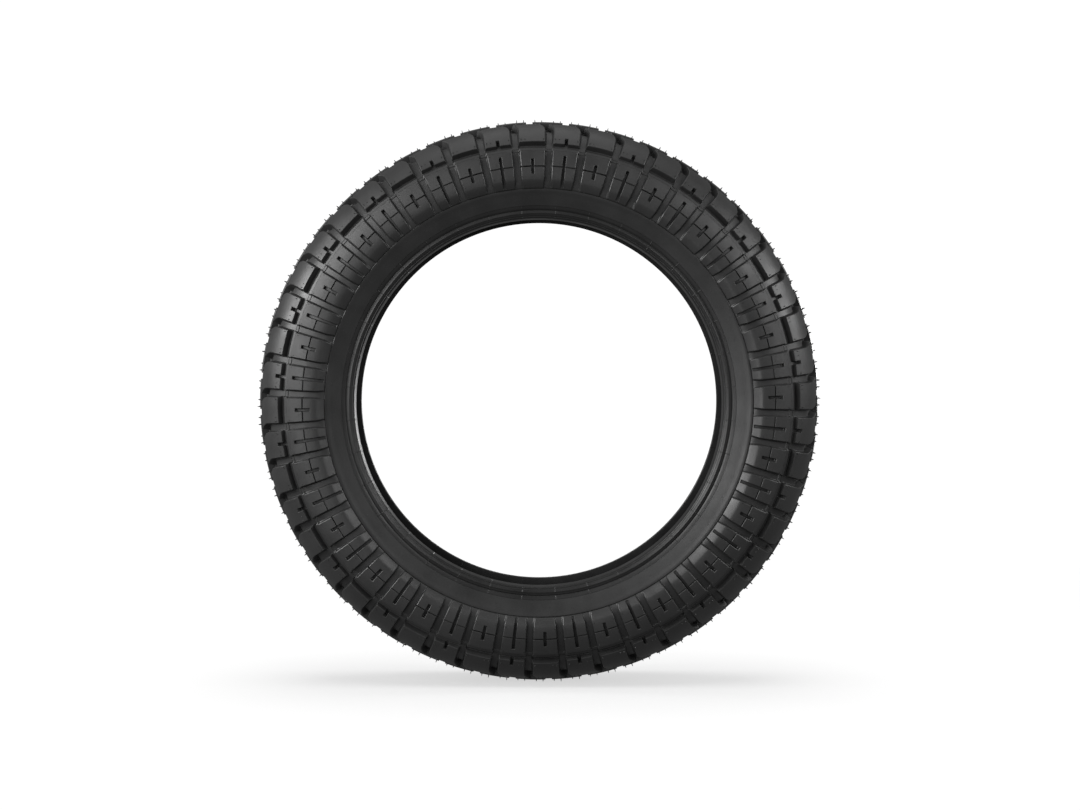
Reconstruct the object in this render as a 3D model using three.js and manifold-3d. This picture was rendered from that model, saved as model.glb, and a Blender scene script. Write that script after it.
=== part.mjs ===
// A 17-inch block-tread trail motorcycle tyre, tube type, with two bias plies, off its rim.
// Millimetres. The wheel axis is Y and passes through the origin, and Z is up.
// The left side is +Y and the right side is -Y.
//
// Every piece is a ring turned about Y. Sections are drawn as [y, r] points: y across the tyre
// and r out from the wheel axis. The casing line below is the outer face of the outer ply. It
// runs from the crown down the side, round the bead pocket and up to the end of the turn-up,
// and the other layers are drawn at distances from it.

import * as THREE from "three";
import { mergeVertices } from "three/addons/utils/BufferGeometryUtils.js";
import Module from "manifold-3d";

const wasm = await Module();
wasm.setup();

// ---- Driving dimensions ----

const ringSides = 24;
const gap = 0.3;

const outerRadius = 333.5;          // crown of the middle block row
const widestRadius = 268;           // where the section is widest
const treadHalfWidth = 65;          // over the shoulder blocks
const casingHalfWidth = 54.2;
const casingHeight = 48.4;          // from the widest radius up to the crown of the casing
const floorHalfWidth = 58.5;        // over the floor of the tread grooves
const grooveDepth = 8.5;            // at the crown

const toeRadius = 215.5;            // inner edge of the bead, a light press on a 17-inch seat
const toeHalfSpacing = 32.6;
const beadHalfWidth = 51;           // over the flat outer faces of the beads

const pitches = 48;
const firstBlockAngle = 6;          // degrees clockwise from the top, seen from the right side
const sideGrooveWidth = 9.9;        // at the crown radius; it narrows towards the wheel axis
const crownGrooveWidth = 7.5;

const ringStart = THREE.MathUtils.degToRad(firstBlockAngle - 180 / pitches);

const plyThickness = 1.0;
const breakerThickness = 1.0;
const linerThickness = 1.5;
const chaferThickness = 0.7;
const flipperThickness = 0.6;

// Distances of the layers from the casing line, positive away from the air space.
const outerPlyFaces = [0, -plyThickness];
const innerPlyFaces = [outerPlyFaces[1] - gap, outerPlyFaces[1] - gap - plyThickness];
const linerFaces = [innerPlyFaces[1] - gap, innerPlyFaces[1] - gap - linerThickness];
const chaferFaces = [innerPlyFaces[1] - gap, innerPlyFaces[1] - gap - chaferThickness];
const innerBreakerFaces = [gap, gap + breakerThickness];
const outerBreakerFaces = [innerBreakerFaces[1] + gap, innerBreakerFaces[1] + gap + breakerThickness];
const flipperFaces = [gap, gap + flipperThickness];
const overOuterBreaker = outerBreakerFaces[1] + gap;
const overInnerBreaker = innerBreakerFaces[1] + gap;

// ---- The casing line ----

function ellipsePoint(halfWidth, height, degrees) {
  const angle = THREE.MathUtils.degToRad(degrees);
  return [halfWidth * Math.sin(angle), widestRadius + height * Math.cos(angle)];
}

// Stations 0 to 3 are the crown and shoulder, 4 the lower side, 5 to 7 the bead pocket and 8 the
// end of the turn-up.
const casingLine = [
  ellipsePoint(casingHalfWidth, casingHeight, 0),
  ellipsePoint(casingHalfWidth, casingHeight, 30),
  ellipsePoint(casingHalfWidth, casingHeight, 60),
  ellipsePoint(casingHalfWidth, casingHeight, 90),
  [52.2, 252],
  [37.6, 230],
  [36.9, 221.6],
  [44.4, 221.6],
  [51.2, 247],
];
const turnUpEnd = casingLine.length - 1;

function segmentNormal(index) {
  const [y0, r0] = casingLine[index];
  const [y1, r1] = casingLine[index + 1];
  const length = Math.hypot(y1 - y0, r1 - r0);
  return [-(r1 - r0) / length, (y1 - y0) / length];
}

// The casing line mirrored about the crown has a level normal at station 0.
function mitredPoint(station, distance) {
  const before = station > 0 ? segmentNormal(station - 1) : null;
  const after = station < turnUpEnd ? segmentNormal(station) : null;
  if (!before) return [0, casingLine[0][1] + distance / after[1]];
  const [y, r] = casingLine[station];
  if (!after) return [y + before[0] * distance, r + before[1] * distance];
  const sum = [before[0] + after[0], before[1] + after[1]];
  const scale = distance / (1 + before[0] * after[0] + before[1] * after[1]);
  return [y + sum[0] * scale, r + sum[1] * scale];
}

// A point at a distance from the casing line; 2.5 is half way from station 2 to station 3.
function offCasing(position, distance) {
  const station = Math.min(Math.floor(position), turnUpEnd - 1);
  const share = position - station;
  const start = mitredPoint(station, distance);
  const end = mitredPoint(station + 1, distance);
  return [start[0] + (end[0] - start[0]) * share, start[1] + (end[1] - start[1]) * share];
}

// ---- Solids ----

const mirrored = (points) => points.map(([y, r]) => [-y, r]);

function signedArea(points) {
  return points.reduce((sum, [y, r], i) => {
    const [nextY, nextR] = points[(i + 1) % points.length];
    return sum + (y * nextR - nextY * r) / 2;
  }, 0);
}

// A closed ring with the given section, its faces outwards.
function ring(section) {
  const points = signedArea(section) < 0 ? section : [...section].reverse();
  const profile = [...points, points[0]].map(([y, r]) => new THREE.Vector2(r, y));
  return new THREE.LatheGeometry(profile, ringSides, ringStart);
}

// The section of a layer that runs from one side to the other. The top and the bottom are
// lists of points from the crown outwards, the first of them on the middle plane.
function acrossSection(top, bottom) {
  const leftTop = top.slice(1);
  const leftBottom = bottom.slice(1).reverse();
  return [
    top[0],
    ...leftTop,
    ...leftBottom,
    bottom[0],
    ...mirrored([...leftBottom].reverse()),
    ...mirrored([...leftTop].reverse()),
  ];
}

// One even layer, from position `start` to `end` on the casing line, through the stations.
function layerFace(start, end, distance) {
  const points = [offCasing(start, distance)];
  for (let station = Math.floor(start) + 1; station < end; station += 1) {
    points.push(offCasing(station, distance));
  }
  points.push(offCasing(end, distance));
  return points;
}

function acrossLayer(end, [outer, inner]) {
  return acrossSection(layerFace(0, end, outer), layerFace(0, end, inner));
}

function sideLayer(start, end, [outer, inner]) {
  return [...layerFace(start, end, outer), ...layerFace(start, end, inner).reverse()];
}

function toManifold(geometry) {
  const bare = geometry.clone();
  bare.deleteAttribute("normal");
  bare.deleteAttribute("uv");
  const merged = mergeVertices(bare, 1e-4);
  return new wasm.Manifold(new wasm.Mesh({
    numProp: 3,
    vertProperties: new Float32Array(merged.attributes.position.array),
    triVerts: new Uint32Array(merged.index.array),
  }));
}

function fromManifold(solid) {
  const mesh = solid.getMesh();
  const geometry = new THREE.BufferGeometry();
  geometry.setAttribute("position", new THREE.BufferAttribute(mesh.vertProperties, 3));
  geometry.setIndex(new THREE.BufferAttribute(mesh.triVerts, 1));
  geometry.computeVertexNormals();
  return geometry;
}

// ---- Tread ----

const crownRowEdge = 21.5;          // where the middle block row meets the rows beside it
const crownRowTop = [[0, outerRadius], [crownRowEdge, 329.8]];
const middleRowTop = [[40.5, 319.2], [54, 304.5]];
const roundGrooveFloor = [[48.4, 298.8], [52.2, 292.4]];
const shoulderRowTop = [[59.2, 295], [64.4, 277], [treadHalfWidth, 263]];
const treadEdge = [[60.2, 250.8], [57.4, 250.8]];

// The tread before its cross grooves, with a groove round the tyre inside each shoulder row.
function treadBlankSection() {
  const top = [...crownRowTop, ...middleRowTop, ...roundGrooveFloor, ...shoulderRowTop, ...treadEdge];
  const underside = [
    offCasing(0, 5.9),
    offCasing(1, 5.5),
    offCasing(2, 3.6),
    offCasing(3, 2.9),
  ];
  return acrossSection(top, underside);
}

// A wedge that takes out one cross groove. Its section is the floor of the groove closed by a
// roof over the tread. It is as wide as `width` at the crown and narrows towards the wheel axis.
function grooveCutter(floor, width, degrees) {
  const roofRadius = outerRadius + 10;
  const [first, last] = [floor[0], floor[floor.length - 1]];
  const corners = [[last[0], roofRadius], [first[0], roofRadius]];
  const outline = new THREE.Shape([...floor, ...corners].map(([y, r]) => new THREE.Vector2(y, r)));
  const cutter = new THREE.ExtrudeGeometry(outline, { depth: width, bevelEnabled: false });
  cutter.translate(0, 0, -width / 2);
  const position = cutter.attributes.position;
  for (let i = 0; i < position.count; i += 1) {
    const [y, r, across] = [position.getX(i), position.getY(i), position.getZ(i)];
    position.setXYZ(i, across * r / outerRadius, y, r);
  }
  cutter.rotateY(THREE.MathUtils.degToRad(degrees));
  return toManifold(cutter);
}

function treadGeometry() {
  const crownFloor = outerRadius - grooveDepth;
  const crownGroove = [[-crownRowEdge, crownFloor], [crownRowEdge, crownFloor]];
  const sideGroove = [
    [crownRowEdge, 321.6],
    [49.6, 300.1],
    [53.4, 293.6],
    [floorHalfWidth, widestRadius],
    [floorHalfWidth, 249],
    [treadHalfWidth + 10, 249],
  ];
  const pitch = 360 / pitches;
  let tread = toManifold(ring(treadBlankSection()));
  for (let i = 0; i < pitches; i += 1) {
    const blockAngle = firstBlockAngle + i * pitch;
    const grooveAngle = blockAngle + pitch / 2;
    tread = tread.subtract(grooveCutter(crownGroove, crownGrooveWidth, blockAngle));
    tread = tread.subtract(grooveCutter(sideGroove, sideGrooveWidth, grooveAngle));
    tread = tread.subtract(grooveCutter(mirrored(sideGroove), sideGrooveWidth, grooveAngle));
  }
  return fromManifold(tread);
}

// The softer layer between the tread and the breakers. Its underside steps down past the
// edge of the narrow outer breaker.
function treadBaseSection() {
  return acrossSection(
    [offCasing(0, 5.6), offCasing(1, 5.2), offCasing(2, 3.3)],
    [
      offCasing(0, overOuterBreaker),
      offCasing(1, overOuterBreaker),
      offCasing(1.03, overOuterBreaker),
      offCasing(1.05, overInnerBreaker),
      offCasing(2, overInnerBreaker),
    ],
  );
}

// The wedge that ties the edge of the tread to the sidewall under it.
const treadWingSection = [
  offCasing(2.03, 3.3),
  offCasing(3, 2.6),
  offCasing(3.6, 3.8),
  offCasing(3.6, 3.66),
  offCasing(3, 1.8),
  offCasing(2.5, 0.9),
  offCasing(2.45, gap),
  offCasing(2.03, gap),
];

// ---- Sides and beads ----

const overOuterPly = outerPlyFaces[1] - gap;
const overInnerPly = innerPlyFaces[1] - gap;
const innerPlyEnd = 7.75;
const chaferEnd = 7.36;

const sidewallSection = [
  offCasing(2.52, 0.6),
  offCasing(3, 1.5),
  offCasing(4, 4.6),
  [57.3, 249.5],
  [54.6, 238],
  [52.7, 231.4],
  offCasing(chaferEnd + 0.03, overInnerPly),
  offCasing(innerPlyEnd + 0.02, overInnerPly),
  offCasing(innerPlyEnd + 0.02, overOuterPly),
  [52.6, 247.4],
  offCasing(4.18, gap),
  offCasing(4, gap),
  offCasing(3, gap),
  offCasing(2.52, gap),
];

const rimStripSection = [
  offCasing(5.3, chaferFaces[1] - gap),
  offCasing(6, chaferFaces[1] - gap),
  offCasing(7, chaferFaces[1] - gap),
  offCasing(chaferEnd, chaferFaces[1] - gap),
  [52.2, 230.8],
  [52.2, 228.6],
  [beadHalfWidth, 227.4],
  [beadHalfWidth, 221],
  [47.6, 217],
  [toeHalfSpacing, toeRadius],
  [32.2, 227.4],
];

const beadCoreSection = [
  [39.7, 222.8],
  [42.6, 222.8],
  [43.8, 225.4],
  [42.6, 228],
  [39.7, 228],
  [38.6, 225.4],
];

const beadFillerSection = [[38.8, 228.4], [45.2, 228.6], [49.1, 244.8]];

// ---- The tyre ----

const tyre = new THREE.Group();

function addPiece(name, geometry, colour, roughness, metalness = 0) {
  const material = new THREE.MeshStandardMaterial({ color: colour, roughness, metalness });
  const mesh = new THREE.Mesh(geometry, material);
  mesh.name = name;
  tyre.add(mesh);
}

function addPair(name, section, colour, roughness, metalness = 0) {
  addPiece(`${name}_left`, ring(section), colour, roughness, metalness);
  addPiece(`${name}_right`, ring(mirrored(section)), colour, roughness, metalness);
}

addPiece("tread_cap", treadGeometry(), 0x232324, 0.72);
addPiece("tread_base", ring(treadBaseSection()), 0x2c2b2a, 0.8);
addPiece("breaker_outer", ring(acrossLayer(1, outerBreakerFaces)), 0x7a6648, 0.85);
addPiece("breaker_inner", ring(acrossLayer(2, innerBreakerFaces)), 0x85704f, 0.85);
addPiece("carcass_ply_outer", ring(acrossLayer(turnUpEnd, outerPlyFaces)), 0x6d5d45, 0.85);
addPiece("carcass_ply_inner", ring(acrossLayer(innerPlyEnd, innerPlyFaces)), 0x66573f, 0.85);
addPiece("inner_liner", ring(acrossLayer(5.2, linerFaces)), 0x1b1b1c, 0.55);
addPair("tread_wing", treadWingSection, 0x302e2c, 0.8);
addPair("sidewall", sidewallSection, 0x262627, 0.62);
addPair("rim_strip", rimStripSection, 0x1e1e1f, 0.5);
addPair("bead_core", beadCoreSection, 0xa5814f, 0.38, 0.9);
addPair("bead_filler", beadFillerSection, 0x33302d, 0.75);
addPair("bead_flipper", sideLayer(5.05, 7.33, flipperFaces), 0x8a7a5c, 0.85);
addPair("chafer", sideLayer(5.25, chaferEnd, chaferFaces), 0x4a443b, 0.9);

export default tyre;
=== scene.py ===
import math
import random

import bpy
from mathutils import Matrix, Vector


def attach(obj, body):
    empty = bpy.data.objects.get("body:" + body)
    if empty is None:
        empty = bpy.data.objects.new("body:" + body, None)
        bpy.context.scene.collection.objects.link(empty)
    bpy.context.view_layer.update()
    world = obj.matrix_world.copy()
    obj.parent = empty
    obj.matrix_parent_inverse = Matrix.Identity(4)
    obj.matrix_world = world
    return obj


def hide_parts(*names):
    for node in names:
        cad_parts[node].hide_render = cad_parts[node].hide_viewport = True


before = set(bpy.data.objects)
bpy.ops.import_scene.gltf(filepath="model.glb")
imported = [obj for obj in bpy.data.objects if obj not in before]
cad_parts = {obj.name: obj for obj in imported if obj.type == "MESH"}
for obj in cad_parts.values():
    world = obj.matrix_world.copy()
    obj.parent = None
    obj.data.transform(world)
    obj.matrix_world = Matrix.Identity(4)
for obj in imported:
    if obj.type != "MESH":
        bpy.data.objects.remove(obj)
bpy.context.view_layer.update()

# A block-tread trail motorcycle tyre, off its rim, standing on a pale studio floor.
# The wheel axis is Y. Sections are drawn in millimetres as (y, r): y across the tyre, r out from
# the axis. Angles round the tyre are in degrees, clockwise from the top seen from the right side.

MM = 0.001
RING_STEPS = 192

# ---- The casing line that every layer follows ----

WIDEST_RADIUS = 268
CASING_HALF_WIDTH = 54.2
CASING_HEIGHT = 48.4
LOWER_SIDE = [(54.2, 268), (54.5, 250), (42.5, 239), (37.2, 227.5)]
LOWER_STATION_SHARE = 0.31
BEAD_POCKET = [
    (5.6, 36.95, 225.2), (5.85, 36.95, 223.4), (6.0, 37.4, 222.2), (6.15, 38.4, 221.65),
    (6.4, 40.0, 221.6), (6.75, 42.6, 221.6), (6.9, 43.8, 221.9), (7.0, 44.5, 222.6),
    (7.06, 44.85, 223.6), (7.25, 46.1, 228.4), (7.5, 47.7, 234.2), (7.75, 49.4, 240.6),
    (8.0, 51.2, 247.0),
]


def bezier(corners, share):
    rest = 1 - share
    weights = (rest ** 3, 3 * rest ** 2 * share, 3 * rest * share ** 2, share ** 3)
    return tuple(sum(w * corner[i] for w, corner in zip(weights, corners)) for i in range(2))


def casing_points():
    points = []
    for degrees in range(0, 91, 5):
        angle = math.radians(degrees)
        y = CASING_HALF_WIDTH * math.sin(angle)
        points.append((degrees / 30, y, WIDEST_RADIUS + CASING_HEIGHT * math.cos(angle)))
    for step in range(1, 13):
        share = step / 12
        if share < LOWER_STATION_SHARE:
            station = 3 + share / LOWER_STATION_SHARE
        else:
            station = 4 + (share - LOWER_STATION_SHARE) / (1 - LOWER_STATION_SHARE)
        points.append((station, *bezier(LOWER_SIDE, share)))
    return points + BEAD_POCKET


CASING = casing_points()


def casing_normal(index):
    before = CASING[max(index - 1, 0)]
    after = CASING[min(index + 1, len(CASING) - 1)]
    dy, dr = after[1] - before[1], after[2] - before[2]
    length = math.hypot(dy, dr)
    return (0.0, 1.0) if index == 0 else (-dr / length, dy / length)


def off_casing(station, distance):
    """A point at a distance from the casing line, positive away from the air space."""
    index = max(i for i, point in enumerate(CASING) if point[0] <= station + 1e-9)
    following = min(index + 1, len(CASING) - 1)
    span = CASING[following][0] - CASING[index][0]
    share = (station - CASING[index][0]) / span if span else 0
    start, end = CASING[index], CASING[following]
    n0, n1 = casing_normal(index), casing_normal(following)
    ny, nr = n0[0] + (n1[0] - n0[0]) * share, n0[1] + (n1[1] - n0[1]) * share
    size = math.hypot(ny, nr)
    y = start[1] + (end[1] - start[1]) * share + ny / size * distance
    r = start[2] + (end[2] - start[2]) * share + nr / size * distance
    return (y, r)


def layer_face(start, end, distance):
    """Points along a layer's face. The distance is a number, or a function of the station."""
    between = [point[0] for point in CASING if start + 0.02 < point[0] < end - 0.02]
    stations = [start] + between + [end]
    depth = distance if callable(distance) else lambda station: distance
    return [off_casing(station, depth(station)) for station in stations]


def mirrored(points):
    return [(-y, r) for y, r in points]


def across(end, outer, inner):
    """The section of a layer that runs from one side to the other."""
    top, bottom = layer_face(0, end, outer), layer_face(0, end, inner)
    return mirrored(top[:0:-1]) + top + bottom[::-1] + mirrored(bottom[1:])


def along_side(start, end, outer, inner):
    return layer_face(start, end, outer) + layer_face(start, end, inner)[::-1]


# ---- Making pieces ----

def deselect():
    if bpy.context.mode != "OBJECT":
        bpy.ops.object.mode_set(mode="OBJECT")
    bpy.ops.object.select_all(action="DESELECT")


def edit(piece):
    deselect()
    piece.select_set(True)
    bpy.context.view_layer.objects.active = piece
    bpy.ops.object.mode_set(mode="EDIT")
    bpy.ops.mesh.select_all(action="SELECT")


def close_and_smooth(piece, degrees, threshold=1e-6):
    """Merges the seam, turns the faces outwards and leaves edit mode."""
    bpy.ops.mesh.select_all(action="SELECT")
    bpy.ops.mesh.remove_doubles(threshold=threshold)
    bpy.ops.mesh.normals_make_consistent(inside=False)
    bpy.ops.object.mode_set(mode="OBJECT")
    bpy.ops.object.shade_smooth_by_angle(angle=math.radians(degrees))


def spun_ring(name, section, degrees=32):
    """A round ring with the given section, spun about the wheel axis."""
    deselect()
    bpy.ops.mesh.primitive_circle_add(vertices=len(section), radius=0.3)
    piece = bpy.context.active_object
    piece.name = piece.data.name = name
    for vertex, (y, r) in zip(piece.data.vertices, section):
        vertex.co = (0, y * MM, r * MM)
    edit(piece)
    bpy.ops.mesh.spin(steps=RING_STEPS, angle=2 * math.pi, center=(0, 0, 0), axis=(0, 1, 0))
    close_and_smooth(piece, degrees)
    return piece


def finish_piece(piece, material, nodes):
    piece.data.materials.clear()
    piece.data.materials.append(material)
    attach(piece, "root")
    if nodes:
        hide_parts(*nodes)


# ---- Materials ----

class Finish:
    """A material's nodes: add() makes a node, and each link goes from an output to an input."""

    def __init__(self, name, **values):
        self.material = bpy.data.materials.new(name)
        self.material.use_nodes = True
        self.tree = self.material.node_tree
        self.shader = self.tree.nodes["Principled BSDF"]
        for socket, value in values.items():
            self.shader.inputs[socket.replace("_", " ")].default_value = value
        self.place = self.add("ShaderNodeTexCoord").outputs["Object"]

    def add(self, kind, inputs=None, **settings):
        node = self.tree.nodes.new(kind)
        for key, value in settings.items():
            setattr(node, key, value)
        for socket, value in (inputs or {}).items():
            self.join(value, node.inputs[socket])
        return node

    def join(self, value, socket):
        if isinstance(value, bpy.types.NodeSocket):
            self.tree.links.new(value, socket)
        else:
            socket.default_value = value

    def noise(self, scale, detail=3.0, roughness=0.5):
        inputs = {"Vector": self.place, "Scale": scale, "Detail": detail, "Roughness": roughness}
        return self.add("ShaderNodeTexNoise", inputs).outputs["Fac"]

    def math(self, operation, first, second=0.0, third=0.0):
        node = self.add("ShaderNodeMath", {0: first, 1: second, 2: third}, operation=operation)
        return node.outputs[0]

    def spread(self, value, low, high, from_low=0.3, from_high=0.7):
        inputs = {"Value": value, "From Min": from_low, "From Max": from_high,
                  "To Min": low, "To Max": high}
        return self.add("ShaderNodeMapRange", inputs).outputs["Result"]

    def blend(self, share, first, second):
        node = self.add("ShaderNodeMix", data_type="RGBA")
        self.join(share, node.inputs[0])
        self.join(first, node.inputs[6])
        self.join(second, node.inputs[7])
        return node.outputs[2]

    def bump(self, height, depth, strength=1.0, under=None):
        inputs = {"Height": height, "Distance": depth, "Strength": strength}
        if under is not None:
            inputs["Normal"] = under
        return self.add("ShaderNodeBump", inputs).outputs["Normal"]

    def radius_and_angle(self):
        """A point's distance from the wheel axis, its turns round it from 0 to 1, and its Y."""
        parts = self.add("ShaderNodeSeparateXYZ", {"Vector": self.place}).outputs
        squares = self.math("ADD", self.math("MULTIPLY", parts[0], parts[0]),
                            self.math("MULTIPLY", parts[2], parts[2]))
        angle = self.math("ARCTAN2", parts[0], parts[2])
        turns = self.math("MULTIPLY_ADD", angle, 0.5 / math.pi, 0.5)
        return self.math("SQRT", squares), turns, parts[1]

    def set(self, socket, value):
        self.join(value, self.shader.inputs[socket])


def grey(value, warm=0.0):
    return (value * (1 + warm), value, value * (1 - warm), 1.0)


def rubber(name, dark, light, rough, grain, grain_depth, warm=0.0):
    """Moulded rubber: cloudy tone, uneven gloss and the fine grain of an etched mould."""
    finish = Finish(name)
    cloud = finish.noise(11, 5, 0.6)
    speck = finish.noise(420, 2)
    tone = finish.blend(finish.spread(cloud, 0, 1), grey(dark, warm), grey(light, warm))
    tone = finish.blend(finish.spread(speck, 0, 0.25, 0.45, 0.8), tone, grey(light * 1.5, warm))
    finish.set("Base Color", tone)
    finish.set("Roughness", finish.spread(finish.noise(34, 4), rough - 0.07, rough + 0.07))
    normal = finish.bump(finish.noise(grain, 3), grain_depth, 0.6)
    finish.set("Normal", normal)
    return finish, normal


def tread_finish():
    finish, normal = rubber("moulded_tread_rubber", 0.015, 0.0225, 0.43, 900, 0.00012)
    # Faint swirls that the flowing rubber leaves on the block faces.
    flow = finish.noise(70, 1.5)
    finish.set("Normal", finish.bump(flow, 0.0006, 0.25, normal))
    return finish.material


def side_finish():
    finish, normal = rubber("sidewall_rubber", 0.0095, 0.0135, 0.40, 1200, 0.00006)
    radius, _, _ = finish.radius_and_angle()
    # Fine turning marks of the side mould, in rings about the axis.
    marks = finish.math("SINE", finish.math("MULTIPLY", radius, 9000.0))
    uneven = finish.spread(finish.noise(25, 2), 0.2, 1.0)
    finish.set("Normal", finish.bump(finish.math("MULTIPLY", marks, uneven), 0.00002, 0.35, normal))
    return finish.material


def bead_finish():
    finish, normal = rubber("rim_strip_rubber", 0.008, 0.0115, 0.40, 1100, 0.00005)
    radius, turns, _ = finish.radius_and_angle()
    # Hair lines across the bead where air left the mould.
    tooth = finish.math("FRACT", finish.math("MULTIPLY", turns, 36.0))
    near_line = finish.math("ABSOLUTE", finish.math("SUBTRACT", tooth, 0.5))
    line = finish.spread(near_line, 1.0, 0.0, 0.006, 0.014)
    marks = finish.math("SINE", finish.math("MULTIPLY", radius, 7000.0))
    height = finish.math("MULTIPLY_ADD", marks, 0.05, line)
    finish.set("Normal", finish.bump(height, 0.0003, 0.7, normal))
    finish.set("Specular IOR Level", 0.38)
    return finish.material


def liner_finish():
    finish, normal = rubber("inner_liner_rubber", 0.018, 0.026, 0.5, 800, 0.00008)
    _, turns, across_tyre = finish.radius_and_angle()
    # Ribs left by the curing bladder, slanting both ways.
    around = finish.math("MULTIPLY", turns, 2 * math.pi * 180)
    slant = finish.math("MULTIPLY", across_tyre, 60.0)
    waves = [finish.math("SINE", finish.math(lean, around, slant)) for lean in ("ADD", "SUBTRACT")]
    ribs = finish.math("MAXIMUM", *(finish.spread(wave, 0, 1, 0.85, 1.0) for wave in waves))
    finish.set("Normal", finish.bump(ribs, 0.0003, 0.6, normal))
    return finish.material


def cord_finish(name, cords, lean, thread, gum):
    """Rubbered cord: slanting threads, a whole number of them round the tyre."""
    finish = Finish(name, Roughness=0.8)
    _, turns, across_tyre = finish.radius_and_angle()
    phase = finish.math("MULTIPLY_ADD", turns, 2 * math.pi * cords,
                        finish.math("MULTIPLY", across_tyre, lean))
    wave = finish.math("SINE", phase)
    shade = finish.spread(finish.noise(300, 3), 0.75, 1.1)
    share = finish.math("MULTIPLY", finish.spread(wave, 0, 1, -0.4, 0.5), shade)
    finish.set("Base Color", finish.blend(share, gum, thread))
    finish.set("Normal", finish.bump(wave, 0.0003, 0.8))
    return finish.material


def woven_finish(name, thread, gum):
    """Square-woven fabric with a rubber coat rubbed in."""
    finish = Finish(name, Roughness=0.85)
    _, turns, across_tyre = finish.radius_and_angle()
    warp = finish.math("SINE", finish.math("MULTIPLY", turns, 2 * math.pi * 1400))
    weft = finish.math("SINE", finish.math("MULTIPLY", across_tyre, 6200.0))
    weave = finish.math("MULTIPLY", warp, weft)
    finish.set("Base Color", finish.blend(finish.spread(weave, 0, 1, -0.6, 0.8), gum, thread))
    finish.set("Normal", finish.bump(weave, 0.0002, 0.8))
    return finish.material


def wire_finish():
    finish = Finish("bronzed_bead_wire", Metallic=0.9)
    radius, _, across_tyre = finish.radius_and_angle()
    strand = finish.math("MULTIPLY", finish.math("SINE", finish.math("MULTIPLY", radius, 6000.0)),
                         finish.math("SINE", finish.math("MULTIPLY", across_tyre, 6000.0)))
    tarnish = finish.spread(finish.noise(160, 4), 0, 1)
    finish.set("Base Color", finish.blend(tarnish, (0.45, 0.27, 0.11, 1), (0.28, 0.15, 0.07, 1)))
    finish.set("Roughness", finish.spread(tarnish, 0.28, 0.5, 0, 1))
    finish.set("Normal", finish.bump(strand, 0.0002, 0.8))
    return finish.material


GUM = (0.03, 0.028, 0.026, 1)
tread_rubber = tread_finish()
sidewall_rubber = side_finish()
rim_strip_rubber = bead_finish()
liner_rubber = liner_finish()
base_rubber = rubber("base_rubber", 0.028, 0.04, 0.7, 500, 0.0001, 0.05)[0].material
filler_rubber = rubber("filler_rubber", 0.03, 0.045, 0.65, 450, 0.0001, 0.08)[0].material
ply_cord = cord_finish("ply_cord", 900, 1500, (0.17, 0.11, 0.06, 1), GUM)
breaker_cord = cord_finish("breaker_cord", 620, -1100, (0.24, 0.16, 0.08, 1), GUM)
flipper_fabric = woven_finish("flipper_fabric", (0.27, 0.21, 0.13, 1), GUM)
chafer_fabric = woven_finish("chafer_fabric", (0.11, 0.095, 0.075, 1), GUM)
bead_wire = wire_finish()

# ---- Tread ----

# Round the tyre, in degrees along a sector of two pitches.
PITCH = 7.5
SECTOR = 2 * PITCH
SECTORS = 24
FIRST_GROOVE = 2.25

GROOVE_EDGE = 0.98
GROOVE_FLOOR_EDGE = 0.6
CROWN_LEAN = -0.5
FULL_LEAN = -1.15
NOTCH = (3.10, 4.40)
SLOT = (3.38, 4.12)

# Across the tyre, as degrees of the section's arc, 0 on the crown and 90 at the widest radius.
CROWN_ROW_END = 17.0
MIDDLE_ROW_START = 20.7
POCKET_END = 30.0
LEAN_START = 34
MIDDLE_NOTCH_START = 49.5
WHOLE_BLOCK_END = 54.6
SPLIT_BLOCK_END = 56.9
LEDGE_START = 60.5
LEDGE_END = 64.2
SHOULDER_START = 65.7
SPLIT_START = 71.0
SHORT_SLOT = (75.3, 90.8)
SIPE = (82.55, 83.45)
RAMP_START = 96.5
RAMP_FLARE = 0.3
SPLIT_END = 105.5
TREAD_EDGE = 107.5

# Heights from the deepest groove's floor, 0, to the block faces, 1.
DEEP, FLOOR, SLOT_FLOOR, LEDGE, SHALLOW, TOP = 0.0, 0.16, 0.22, 0.55, 0.75, 1.0
BREAK_LEVEL = -0.1
EDGE_ROUNDING = 0.00045

PITCH_LINES = [0, GROOVE_EDGE, NOTCH[0], *SLOT, NOTCH[1], PITCH - GROOVE_EDGE]
ACROSS_LINES = [
    0, 8.5, CROWN_ROW_END, MIDDLE_ROW_START, 25, POCKET_END, 35, 40, 45, MIDDLE_NOTCH_START,
    WHOLE_BLOCK_END, SPLIT_BLOCK_END, LEDGE_START, LEDGE_END, SHOULDER_START, SPLIT_START,
    SHORT_SLOT[0], 79, *SIPE, 87, SHORT_SLOT[1], RAMP_START, 98.5, 101, SPLIT_END, TREAD_EDGE,
    109, 111, 113, 115, 117, 119, 121, 123,
]

# Half width, and height above the widest radius, of the block faces and of the groove floors.
BLOCK_ARC = (65, 65.5)
GROOVE_ARC = (58.5, 57)
# Below the widest radius: place on the lines across, then (y, r).
BLOCK_SIDE = [
    (90, 65, 268), (96.5, 65, 261.8), (98.5, 64.4, 259.6), (101, 63.1, 257.0),
    (105.5, 60.2, 252.4), (107.5, 58.8, 250.8),
]
GROOVE_SIDE = [(90, 58.5, 268), (101, 58.5, 257), (105.5, 58.2, 252.4), (107.5, 57.4, 250.8)]
UNDERSIDE = [
    (107.5, 57.4, 250.8), (109, 57.25, 255), (111, *off_casing(3, 2.95)),
    (113, *off_casing(2.5, 3.2)), (115, *off_casing(2, 3.65)), (117, *off_casing(1.5, 4.6)),
    (119, *off_casing(1, 5.55)), (121, *off_casing(0.5, 5.8)), (123, *off_casing(0, 5.9)),
]


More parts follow.
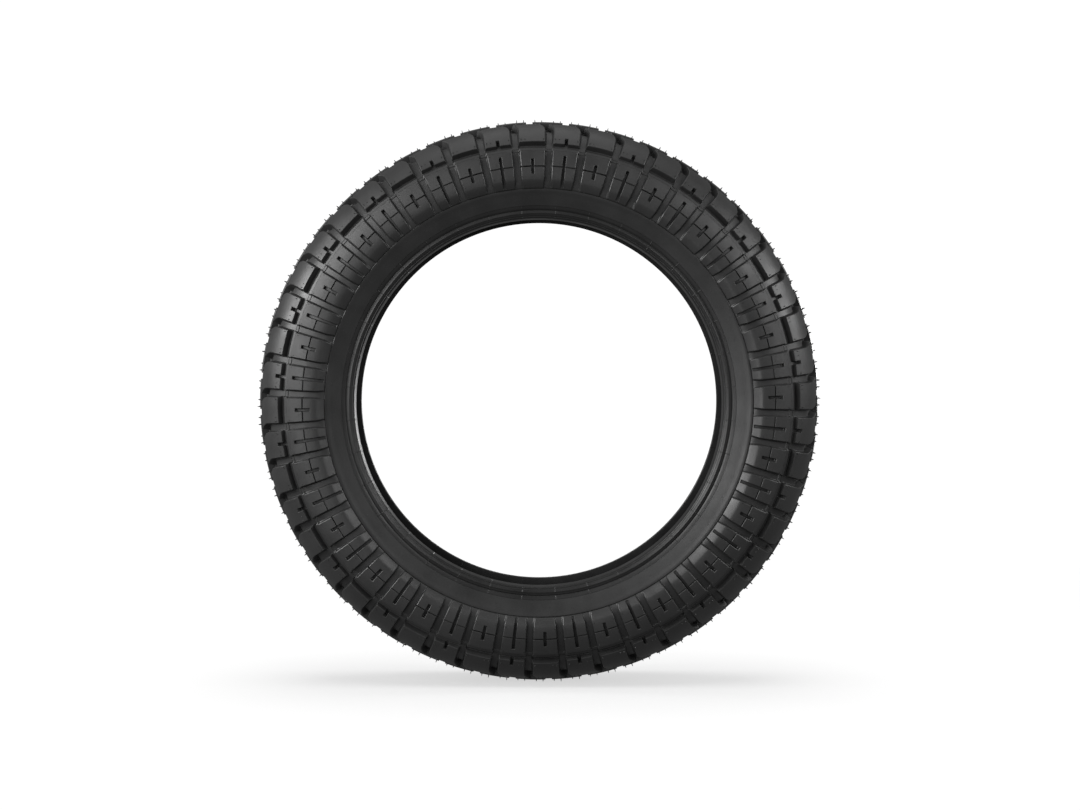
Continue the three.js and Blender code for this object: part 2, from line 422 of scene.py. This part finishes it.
def on_table(table, place):
    for (s0, y0, r0), (s1, y1, r1) in zip(table, table[1:]):
        if place <= s1:
            share = (place - s0) / (s1 - s0)
            return (y0 + (y1 - y0) * share, r0 + (r1 - r0) * share)
    return table[-1][1:]


def on_section(half_width, height, table, place):
    if place > 90:
        return on_table(table, place)
    angle = math.radians(place)
    return (half_width * math.sin(angle), WIDEST_RADIUS + height * math.cos(angle))


def tread_level(along, place):
    """How high the tread stands there: 0 at the deepest groove, 1 on the blocks."""
    pitch = int(along // PITCH)
    in_pitch = along - pitch * PITCH
    distance = abs(place)
    # Whole and split blocks take turns, and face each other across the tyre.
    split = (pitch == 0) == (place < 0)
    in_groove = in_pitch < GROOVE_EDGE or in_pitch > PITCH - GROOVE_EDGE
    in_slot = SLOT[0] < in_pitch < SLOT[1]
    if distance > TREAD_EDGE:
        return DEEP
    if distance < CROWN_ROW_END:
        return FLOOR if NOTCH[0] < in_pitch < NOTCH[1] else TOP
    if distance < MIDDLE_ROW_START:
        return DEEP
    if in_groove:
        if distance < POCKET_END:
            return DEEP
        return SLOT_FLOOR if LEDGE_START < distance < LEDGE_END else FLOOR
    if distance < (SPLIT_BLOCK_END if split else WHOLE_BLOCK_END):
        return FLOOR if split and in_slot and distance > MIDDLE_NOTCH_START else TOP
    if distance < LEDGE_START:
        return FLOOR if split and in_slot else DEEP
    if distance < LEDGE_END:
        return LEDGE
    if distance < SHOULDER_START:
        return FLOOR
    if split:
        if in_slot and SPLIT_START < distance < SPLIT_END:
            return SLOT_FLOOR
        return SHALLOW if SIPE[0] < distance < SIPE[1] else TOP
    if in_slot and SHORT_SLOT[0] < distance < SHORT_SLOT[1]:
        return SLOT_FLOOR
    return SLOT_FLOOR if SIPE[0] < distance < SIPE[1] else TOP


def groove_bend(distance):
    """The cross grooves lean back towards the crown row."""
    if distance <= CROWN_ROW_END:
        return CROWN_LEAN
    reach = max(0.0, (LEAN_START - distance) / (LEAN_START - MIDDLE_ROW_START))
    return FULL_LEAN * min(reach, 1.0) ** 1.5


def on_tread(along, place, level):
    distance = abs(place)
    if distance > TREAD_EDGE:
        y, r = on_table(UNDERSIDE, distance)
    else:
        top = on_section(*BLOCK_ARC, BLOCK_SIDE, distance)
        floor = on_section(*GROOVE_ARC, GROOVE_SIDE, distance)
        if level == DEEP and MIDDLE_ROW_START < distance < SHOULDER_START:
            level = BREAK_LEVEL
        y = floor[0] + (top[0] - floor[0]) * level
        r = floor[1] + (top[1] - floor[1]) * level
    in_pitch = along % PITCH
    side = 0
    if abs(in_pitch - GROOVE_EDGE) < 0.01:
        side = 1
    elif abs(in_pitch - PITCH + GROOVE_EDGE) < 0.01:
        side = -1
    shift = 0.0
    if CROWN_ROW_END < distance <= TREAD_EDGE:
        # The grooves have sloping flanks, and widen down the ramp below the shoulder blocks.
        shift = -(GROOVE_EDGE - GROOVE_FLOOR_EDGE) * (1 - level)
        shift += RAMP_FLARE * max(0.0, (distance - RAMP_START) / (TREAD_EDGE - RAMP_START)) ** 1.3
    angle = math.radians(FIRST_GROOVE + along + side * shift + groove_bend(distance))
    return (r * MM * math.sin(angle), math.copysign(y, place) * MM, r * MM * math.cos(angle))


def spin_sector(piece):
    """Copies one sector round the whole tyre, and stays in edit mode."""
    edit(piece)
    last = 2 * math.pi * (SECTORS - 1) / SECTORS
    bpy.ops.mesh.spin(steps=SECTORS - 1, dupli=True, angle=last, center=(0, 0, 0), axis=(0, 1, 0))


def tread_blocks():
    along_lines = PITCH_LINES + [line + PITCH for line in PITCH_LINES] + [SECTOR]
    across_lines = [-line for line in ACROSS_LINES[:0:-1]] + ACROSS_LINES
    deselect()
    bpy.ops.mesh.primitive_grid_add(x_subdivisions=len(along_lines) - 1,
                                    y_subdivisions=len(across_lines) - 1, size=2)
    piece = bpy.context.active_object
    piece.name = piece.data.name = "tread_blocks"
    mesh = piece.data
    # The sheet's lines are moved to the edges of the blocks.
    for vertex in mesh.vertices:
        column = round((vertex.co.x + 1) / 2 * (len(along_lines) - 1))
        row = round((vertex.co.y + 1) / 2 * (len(across_lines) - 1))
        vertex.co = (along_lines[column], across_lines[row], 0)
    below = DEEP
    for level in (FLOOR, SLOT_FLOOR, LEDGE, SHALLOW, TOP):
        for part in (*mesh.vertices, *mesh.edges):
            part.select = False
        for face in mesh.polygons:
            flat = abs(face.normal.z) > 0.9 and abs(face.center.z - below) < 1e-4
            face.select = flat and tread_level(face.center.x, face.center.y) > level - 1e-4
        bpy.ops.object.mode_set(mode="EDIT")
        bpy.ops.mesh.select_mode(type="FACE")
        bpy.ops.mesh.extrude_region_move(TRANSFORM_OT_translate={"value": (0, 0, level - below)})
        bpy.ops.object.mode_set(mode="OBJECT")
        below = level
    # Where a block runs on into the next sector, the wall between them goes.
    for face in mesh.polygons:
        ends = [mesh.vertices[index].co.x for index in face.vertices]
        face.select = max(ends) < 1e-4 or min(ends) > SECTOR - 1e-4
    bpy.ops.object.mode_set(mode="EDIT")
    bpy.ops.mesh.delete(type="FACE")
    bpy.ops.object.mode_set(mode="OBJECT")
    for vertex in mesh.vertices:
        vertex.co = on_tread(*vertex.co)
    spin_sector(piece)
    close_and_smooth(piece, 30, 1e-5)
    rounding = piece.modifiers.new("mould_rounding", "BEVEL")
    rounding.width = EDGE_ROUNDING
    rounding.segments = 1
    rounding.limit_method = "ANGLE"
    rounding.angle_limit = math.radians(38)
    rounding.use_clamp_overlap = False
    bpy.ops.object.modifier_apply(modifier=rounding.name)
    bpy.ops.object.shade_smooth_by_angle(angle=math.radians(24))
    return piece


WHISKER_SUNK = 0.3
# Vents in the side plates: angle along a sector, then (y, r).
SIDE_VENTS = [(3.4, 56.5, 243.8), (9.8, 55.4, 240.0)]


def whisker_places():
    """Where the mould's vents left a rubber hair: (along, across, length in mm)."""
    places = []
    uneven = random.Random(4)
    for pitch in range(2):
        start = pitch * PITCH
        for along in (1.2, 2.6, 4.9, 6.3):
            for across_place in (-13.5, -4.0, 4.5, 13.0):
                places.append((start + along, across_place, uneven.uniform(1.6, 3.6)))
        for side in (-1, 1):
            for along in (1.35, 6.15):
                places += [(start + along, side * place, 1.6) for place in (23.5, 51.5)]
                places += [(start + along, side * place, 0.8) for place in (68.5, 94.0)]
            places.append((start + 2.2, side * 51.5, 1.0))
            places.append((start + 5.3, side * 23.5, 1.6))
            places.append((start + 2.6, side * 79.0, 0.6))
    return places


def whisker_roots():
    """(root, direction out of the rubber, length in mm) of every hair of one sector."""
    roots = []
    for along, place, length in whisker_places():
        root = Vector(on_tread(along, place, TOP))
        roots.append((root, (root - Vector(on_tread(along, place, SHALLOW))).normalized(), length))
    for side in (-1, 1):
        for along, y, r in SIDE_VENTS:
            angle = math.radians(FIRST_GROOVE + along)
            root = Vector((r * MM * math.sin(angle), side * y * MM, r * MM * math.cos(angle)))
            roots.append((root, Vector((0, side, 0)), 0.5))
    return roots


def vent_whiskers():
    deselect()
    bpy.ops.mesh.primitive_cone_add(vertices=5, radius1=0.75 * MM, radius2=0.3 * MM, depth=1 * MM)
    pattern = bpy.context.active_object
    edit(pattern)
    bpy.ops.mesh.quads_convert_to_tris()
    bpy.ops.object.mode_set(mode="OBJECT")
    whiskers = []
    for root, out, length in whisker_roots():
        turn = out.to_track_quat("Z", "Y").to_matrix().to_4x4()
        lift = Matrix.Translation(root + out * (length / 2 - WHISKER_SUNK) * MM)
        copy = pattern.copy()
        copy.data = pattern.data.copy()
        bpy.context.collection.objects.link(copy)
        copy.data.transform(lift @ turn @ Matrix.Diagonal((1, 1, length + WHISKER_SUNK, 1)))
        whiskers.append(copy)
    bpy.data.objects.remove(pattern)
    deselect()
    for whisker in whiskers:
        whisker.select_set(True)
    piece = whiskers[0]
    bpy.context.view_layer.objects.active = piece
    bpy.ops.object.join()
    piece.name = piece.data.name = "vent_whiskers"
    spin_sector(piece)
    close_and_smooth(piece, 60)
    return piece


finish_piece(tread_blocks(), tread_rubber, ["tread_cap"])
finish_piece(vent_whiskers(), tread_rubber, [])

# ---- Casing layers ----

def base_top(station):
    return 5.6 - 0.4 * station if station <= 1 else 5.2 - 1.9 * (station - 1)


def base_underside(station):
    return 2.9 if station <= 1.02 else 1.6


layers = [
    ("tread_underlayer", across(2, base_top, base_underside), "base_rubber", base_rubber,
     "tread_base"),
    ("breaker_belt_outer", across(1, 2.6, 1.6), "breaker_cord", breaker_cord, "breaker_outer"),
    ("breaker_belt_inner", across(2, 1.3, 0.3), "breaker_cord", breaker_cord, "breaker_inner"),
    ("ply_outer", across(8, 0, -1.0), "ply_cord", ply_cord, "carcass_ply_outer"),
    ("ply_inner", across(7.75, -1.3, -2.3), "ply_cord", ply_cord, "carcass_ply_inner"),
    ("liner", across(5.2, -2.6, -4.1), "liner_rubber", liner_rubber, "inner_liner"),
]
for name, section, slot, material, node in layers:
    finish_piece(spun_ring(name, section), material, [node])

# ---- Sides and beads, drawn for the left side and mirrored for the right ----

wing = [
    off_casing(2.03, 3.3), off_casing(2.5, 2.95), off_casing(3, 2.6), off_casing(3.3, 3.1),
    off_casing(3.6, 3.8), off_casing(3.6, 3.66), off_casing(3.3, 2.6), off_casing(3, 1.8),
    off_casing(2.5, 0.9), off_casing(2.45, 0.3), off_casing(2.03, 0.3),
]
side_skin = [
    off_casing(2.52, 0.6), off_casing(2.75, 1.0), off_casing(3, 1.5), off_casing(3.3, 2.3),
    off_casing(3.6, 3.3), (56.6, 250.2), (57.2, 250.65), (58.0, 250.6), (58.3, 250.0),
    (58.1, 248.4), (57.5, 246.6), (56.75, 244.6), (56.1, 242.4), (55.4, 240.0), (54.7, 237.6),
    (54.0, 235.4), (53.4, 233.4), (53.0, 232.1), (52.75, 231.3), (52.5, 231.2),
    (51.4, 231.0),
    off_casing(7.39, -2.6), off_casing(7.6, -2.6), off_casing(7.77, -2.6), off_casing(7.77, -1.3),
    (52.4, 247.2), off_casing(4.25, 0.3), off_casing(4, 0.3), off_casing(3.6, 0.3),
    off_casing(3.3, 0.3), off_casing(3, 0.3), off_casing(2.75, 0.3), off_casing(2.52, 0.3),
]
strip = [
    off_casing(5.3, -3.6), off_casing(5.6, -3.6), off_casing(5.85, -3.6), off_casing(6.0, -3.6),
    off_casing(6.15, -3.6), off_casing(6.4, -3.6), off_casing(6.75, -3.6), off_casing(6.9, -3.6),
    off_casing(7.0, -3.6), off_casing(7.06, -3.6), off_casing(7.25, -3.6), off_casing(7.36, -3.6),
    (52.5, 231.15), (52.7, 230.95), (52.3, 229.6), (51.9, 228.3), (51.5, 227.2), (50.9, 226.6),
    (50.5, 226.2), (50.8, 225.7), (51.1, 225.3), (51.1, 223.6), (51.4, 222.9), (51.5, 222.4),
    (51.2, 221.9), (50.8, 221.4), (50.6, 220.3), (50.2, 219.6), (49.6, 219.1), (49.4, 218.8),
    (49.5, 218.3), (49.2, 217.7), (48.6, 217.1), (47.6, 216.7), (46.2, 216.4),
    (44.0, 216.2), (40.0, 215.95), (36.0, 215.7), (33.6, 215.6), (32.9, 215.7), (32.5, 216.2),
    (32.3, 219.0), (32.2, 223.5), (32.15, 226.6), (32.5, 227.4),
]
core = [
    (39.7, 222.8), (41.1, 222.6), (42.6, 222.8), (43.4, 224.0), (43.8, 225.4), (43.4, 226.8),
    (42.6, 228.0), (41.1, 228.2), (39.7, 228.0), (38.9, 226.8), (38.6, 225.4), (38.9, 224.0),
]
filler = [
    (38.9, 228.6), (42.0, 228.7), (44.9, 228.8), (46.6, 234.0), (48.7, 243.8), (44.6, 238.2),
    (41.4, 233.4),
]

sides = [
    ("tread_edge_wedge", wing, "base_rubber", base_rubber, "tread_wing"),
    ("sidewall_skin", side_skin, "sidewall_rubber", sidewall_rubber, "sidewall"),
    ("bead_strip", strip, "rim_strip_rubber", rim_strip_rubber, "rim_strip"),
    ("bead_wire_bundle", core, "bead_wire", bead_wire, "bead_core"),
    ("apex_filler", filler, "filler_rubber", filler_rubber, "bead_filler"),
    ("flipper_wrap", along_side(5.05, 7.33, 0.9, 0.3), "flipper_fabric", flipper_fabric,
     "bead_flipper"),
    ("chafer_wrap", along_side(5.25, 7.36, -2.6, -3.3), "chafer_fabric", chafer_fabric, "chafer"),
]
for name, section, slot, material, node in sides:
    for side, outline in (("left", section), ("right", mirrored(section))):
        finish_piece(spun_ring(f"{name}_{side}", outline), material, [f"{node}_{side}"])

# ---- Studio ----

FLOOR_HEIGHT = -0.3336


def studio_floor():
    deselect()
    bpy.ops.mesh.primitive_circle_add(vertices=96, radius=2, fill_type="NGON",
                                      location=(0, 0, FLOOR_HEIGHT))
    floor = bpy.context.active_object
    floor.name = "studio_floor"
    edit(floor)
    bpy.ops.mesh.inset(thickness=1)
    bpy.ops.object.mode_set(mode="OBJECT")
    bpy.ops.object.transform_apply(location=True)
    finish = Finish("pale_floor", Roughness=0.9)
    finish.set("Base Color", (0.86, 0.86, 0.86, 1))
    finish.set("Specular IOR Level", 0.1)
    length = finish.add("ShaderNodeVectorMath", {0: finish.place}, operation="LENGTH")
    radius = length.outputs["Value"]
    finish.set("Emission Color", (1, 1, 1, 1))
    finish.set("Emission Strength", 0.62)
    finish.set("Alpha", finish.spread(radius, 1.0, 0.0, 0.9, 1.8))
    floor.data.materials.append(finish.material)
    # It fades out before its rim. It catches shadows but throws no light back up.
    floor.visible_diffuse = False
    floor.visible_glossy = False
    return floor


def limit_reach(light, piece, state):
    """The light shines only on the piece ("INCLUDE"), or on everything but it ("EXCLUDE")."""
    group = bpy.data.collections.new(light.name + "_reach")
    group.objects.link(piece)
    group.collection_objects[0].light_linking.link_state = state
    light.light_linking.receiver_collection = group


def soft_light(name, place, size, power):
    lamp = bpy.data.lights.new(name, "AREA")
    lamp.shape = "DISK"
    lamp.size = size
    lamp.energy = power
    holder = bpy.data.objects.new(name, lamp)
    holder.location = place
    holder.rotation_euler = (-Vector(place)).to_track_quat("-Z", "Y").to_euler()
    bpy.context.collection.objects.link(holder)
    return holder


def studio_air():
    """A white surround that the camera sees at full strength, and that lights the tyre weakly."""
    world = bpy.data.worlds.new("studio")
    bpy.context.scene.world = world
    world.use_nodes = True
    nodes, links = world.node_tree.nodes, world.node_tree.links
    nodes.clear()
    seen = nodes.new("ShaderNodeBackground")
    lighting = nodes.new("ShaderNodeBackground")
    rays = nodes.new("ShaderNodeLightPath")
    mix = nodes.new("ShaderNodeMixShader")
    out = nodes.new("ShaderNodeOutputWorld")
    seen.inputs["Strength"].default_value = 1.05
    lighting.inputs["Strength"].default_value = 0.19
    for background in (seen, lighting):
        background.inputs["Color"].default_value = (1, 1, 1, 1)
    links.new(rays.outputs["Is Camera Ray"], mix.inputs[0])
    links.new(lighting.outputs[0], mix.inputs[1])
    links.new(seen.outputs[0], mix.inputs[2])
    links.new(mix.outputs[0], out.inputs["Surface"])


floor = studio_floor()
studio_air()
# The side lights leave the floor alone, so that its shadow is the even one of the light above.
for settings in (
    ("left_side_box", (-2.6, -0.6, 1.0), 1.4, 64),
    ("left_front_box", (-2.0, -1.75, 1.2), 1.4, 31),
    ("low_front_box", (-1.5, -2.4, 0.4), 1.4, 25),
    ("right_side_box", (2.5, -0.2, 1.1), 1.4, 32),
    ("right_front_box", (1.8, -2.0, 1.1), 1.4, 25),
    ("back_box", (1.1, 2.3, 0.1), 0.6, 12),
):
    limit_reach(soft_light(*settings), floor, "EXCLUDE")
soft_light("top_box", (0, 0.1, 2.6), 2.6, 15)
limit_reach(soft_light("floor_box", (0, 0, 2.4), 2.0, 16), floor, "INCLUDE")

VIEW_DISTANCE = 2.3
VIEW_HEIGHT_DEGREES = 1.91
LOOK_DOWN_DEGREES = 2.0
SIDE_STEP = 0.0012
camera_data = bpy.data.cameras.new("view")
camera_data.lens = 64
camera_data.sensor_width = 36
camera = bpy.data.objects.new("view", camera_data)
height = math.radians(VIEW_HEIGHT_DEGREES)
camera.location = (SIDE_STEP, -VIEW_DISTANCE * math.cos(height), VIEW_DISTANCE * math.sin(height))
camera.rotation_euler = (math.radians(90 - LOOK_DOWN_DEGREES), 0, 0)
bpy.context.collection.objects.link(camera)
bpy.context.scene.camera = camera
bpy.context.scene.view_settings.view_transform = "Standard"
